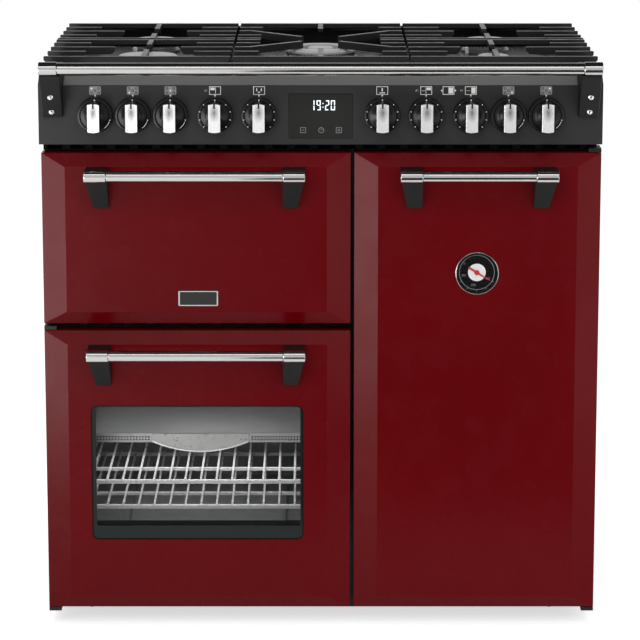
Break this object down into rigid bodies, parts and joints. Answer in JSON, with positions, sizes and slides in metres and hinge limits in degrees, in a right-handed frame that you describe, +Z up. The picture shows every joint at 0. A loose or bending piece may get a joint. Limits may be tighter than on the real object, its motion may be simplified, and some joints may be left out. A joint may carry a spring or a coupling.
{
  "type": "dual fuel range cooker",
  "caption": "Wide free-standing range cooker with gas hob, hob rail, control knobs, drop-down grill door, windowed oven door and tall oven door.",
  "frame": {"origin": "centre of the footprint's box at floor level", "axes": "+X to the right seen from the front, +Y to the back, +Z up"},
  "size_m": [0.9, 0.663, 0.941],
  "materials": {
    "burgundy_enamel": "gloss vitreous enamel",
    "charcoal_enamel": "satin enamel",
    "black_enamel": "gloss enamel",
    "black_paint": "semi-matt paint",
    "grey_enamel": "speckled enamel",
    "zinc_sheet": "galvanised sheet",
    "chrome": "polished",
    "steel_wire": "plated wire",
    "cast_iron": "matt enamelled casting",
    "burner_alloy": "cast",
    "cap_grey": "matt enamel",
    "ceramic": "glazed ceramic",
    "knob_black": "gloss",
    "timer_black": "black glass",
    "window_glass": "clear toughened glass",
    "gauge_face": "printed dial in a chrome case",
    "needle_red": "satin paint",
    "seal_rubber": "matt",
    "brass": "machined",
    "element": "heat darkened"
  },
  "bodies": {
    "cabinet": {"base_frame": "black_paint", "side_panels": "black_paint", "back_panel": "zinc_sheet", "front_frame": "black_enamel", "top_oven_liner": "grey_enamel", "main_oven_liner": "grey_enamel", "tall_oven_liner": "grey_enamel", "door_seals": "seal_rubber", "vent_trims": "black_paint", "control_fascia": "charcoal_enamel", "timer_glass": "timer_black", "control_bodies": "brass", "gas_manifold": "zinc_sheet", "hob_rail": "chrome", "rail_brackets": "black_paint", "hob_tray": "black_enamel", "burner_bodies": "burner_alloy", "burner_caps": "cap_grey", "spark_plugs": "ceramic", "hinge_brackets": "black_paint", "oven_racks": "steel_wire", "air_fry_tray": "steel_wire", "grill_element": "element", "fan_covers": "grey_enamel", "fan_motors": "zinc_sheet"},
    "top_door": {"top_door_panel": "burgundy_enamel", "top_door_liner": "grey_enamel", "top_door_handle": "chrome", "top_door_handle_brackets": "black_paint"},
    "main_door": {"main_door_panel": "burgundy_enamel", "main_door_liner": "grey_enamel", "main_door_glass": "window_glass", "main_door_handle": "chrome", "main_door_handle_brackets": "black_paint"},
    "tall_door": {"tall_door_panel": "burgundy_enamel", "tall_door_liner": "grey_enamel", "tall_door_handle": "chrome", "tall_door_handle_brackets": "black_paint", "gauge_case": "gauge_face", "gauge_glass": "window_glass"},
    "gauge_needle": {"gauge_needle": "needle_red"},
    "gas_knob_1": {"gas_knob_1": "knob_black"},
    "gas_knob_2": {"gas_knob_2": "knob_black"},
    "gas_knob_3": {"gas_knob_3": "knob_black"},
    "gas_knob_4": {"gas_knob_4": "knob_black"},
    "gas_knob_5": {"gas_knob_5": "knob_black"},
    "oven_knob_1": {"oven_knob_1": "knob_black"},
    "oven_knob_2": {"oven_knob_2": "knob_black"},
    "oven_knob_3": {"oven_knob_3": "knob_black"},
    "oven_knob_4": {"oven_knob_4": "knob_black"},
    "oven_knob_5": {"oven_knob_5": "knob_black"},
    "main_oven_fan": {"main_oven_fan": "steel_wire"},
    "tall_oven_fan": {"tall_oven_fan": "steel_wire"},
    "pan_support_left": {"pan_support_left": "cast_iron"},
    "pan_support_centre": {"pan_support_centre": "cast_iron"},
    "pan_support_right": {"pan_support_right": "cast_iron"},
    "foot_front_left": {"foot_front_left": "black_paint"},
    "foot_front_right": {"foot_front_right": "black_paint"},
    "foot_rear_left": {"foot_rear_left": "black_paint"},
    "foot_rear_right": {"foot_rear_right": "black_paint"}
  },
  "joints": [
    {"name": "top_door_hinge", "type": "hinge", "parent": "cabinet", "child": "top_door", "pos_m": [-0.1995, -0.251, 0.521], "axis": [1, 0, 0], "range_deg": [0, 90]},
    {"name": "main_door_hinge", "type": "hinge", "parent": "cabinet", "child": "main_door", "pos_m": [-0.433, -0.251, 0.26], "axis": [0, 0, -1], "range_deg": [0, 110]},
    {"name": "tall_door_hinge", "type": "hinge", "parent": "cabinet", "child": "tall_door", "pos_m": [0.435, -0.251, 0.41], "axis": [0, 0, 1], "range_deg": [0, 110]},
    {"name": "gauge_needle_turn", "type": "hinge", "parent": "tall_door", "child": "gauge_needle", "pos_m": [0.2515, -0.264, 0.594], "axis": [0, 1, 0], "range_deg": [0, 210]},
    {"name": "gas_knob_1_turn", "type": "hinge", "parent": "cabinet", "child": "gas_knob_1", "pos_m": [-0.35899, -0.264, 0.85], "axis": [0, 1, 0], "range_deg": [-210, 0]},
    {"name": "gas_knob_2_turn", "type": "hinge", "parent": "cabinet", "child": "gas_knob_2", "pos_m": [-0.29899, -0.264, 0.85], "axis": [0, 1, 0], "range_deg": [-210, 0]},
    {"name": "gas_knob_3_turn", "type": "hinge", "parent": "cabinet", "child": "gas_knob_3", "pos_m": [-0.23899, -0.264, 0.85], "axis": [0, 1, 0], "range_deg": [-210, 0]},
    {"name": "gas_knob_4_turn", "type": "hinge", "parent": "cabinet", "child": "gas_knob_4", "pos_m": [0.29899, -0.264, 0.85], "axis": [0, 1, 0], "range_deg": [-210, 0]},
    {"name": "gas_knob_5_turn", "type": "hinge", "parent": "cabinet", "child": "gas_knob_5", "pos_m": [0.35899, -0.264, 0.85], "axis": [0, 1, 0], "range_deg": [-210, 0]},
    {"name": "oven_knob_1_turn", "type": "hinge", "parent": "cabinet", "child": "oven_knob_1", "pos_m": [-0.16798, -0.264, 0.85], "axis": [0, 1, 0], "range_deg": [0, 270]},
    {"name": "oven_knob_2_turn", "type": "hinge", "parent": "cabinet", "child": "oven_knob_2", "pos_m": [-0.09799, -0.264, 0.85], "axis": [0, 1, 0], "range_deg": [0, 270]},
    {"name": "oven_knob_3_turn", "type": "hinge", "parent": "cabinet", "child": "oven_knob_3", "pos_m": [0.09799, -0.264, 0.85], "axis": [0, 1, 0], "range_deg": [0, 270]},
    {"name": "oven_knob_4_turn", "type": "hinge", "parent": "cabinet", "child": "oven_knob_4", "pos_m": [0.16798, -0.264, 0.85], "axis": [0, 1, 0], "range_deg": [0, 270]},
    {"name": "oven_knob_5_turn", "type": "hinge", "parent": "cabinet", "child": "oven_knob_5", "pos_m": [0.23899, -0.264, 0.85], "axis": [0, 1, 0], "range_deg": [0, 270]},
    {"name": "main_oven_fan_spin", "type": "hinge", "parent": "cabinet", "child": "main_oven_fan", "pos_m": [-0.1995, 0.212, 0.2975], "axis": [0, 1, 0], "continuous": true},
    {"name": "tall_oven_fan_spin", "type": "hinge", "parent": "cabinet", "child": "tall_oven_fan", "pos_m": [0.2515, 0.212, 0.415], "axis": [0, 1, 0], "continuous": true},
    {"name": "pan_support_left_lift", "type": "slide", "parent": "cabinet", "child": "pan_support_left", "axis": [0, 0, 1], "range_m": [0, 0.06]},
    {"name": "pan_support_centre_lift", "type": "slide", "parent": "cabinet", "child": "pan_support_centre", "axis": [0, 0, 1], "range_m": [0, 0.06]},
    {"name": "pan_support_right_lift", "type": "slide", "parent": "cabinet", "child": "pan_support_right", "axis": [0, 0, 1], "range_m": [0, 0.06]},
    {"name": "foot_front_left_turn", "type": "hinge", "parent": "cabinet", "child": "foot_front_left", "pos_m": [-0.385, -0.138, 0.03], "axis": [0, 0, 1], "continuous": true},
    {"name": "foot_front_right_turn", "type": "hinge", "parent": "cabinet", "child": "foot_front_right", "pos_m": [0.385, -0.138, 0.03], "axis": [0, 0, 1], "continuous": true},
    {"name": "foot_rear_left_turn", "type": "hinge", "parent": "cabinet", "child": "foot_rear_left", "pos_m": [-0.385, 0.2495, 0.03], "axis": [0, 0, 1], "continuous": true},
    {"name": "foot_rear_right_turn", "type": "hinge", "parent": "cabinet", "child": "foot_rear_right", "pos_m": [0.385, 0.2495, 0.03], "axis": [0, 0, 1], "continuous": true}
  ]
}
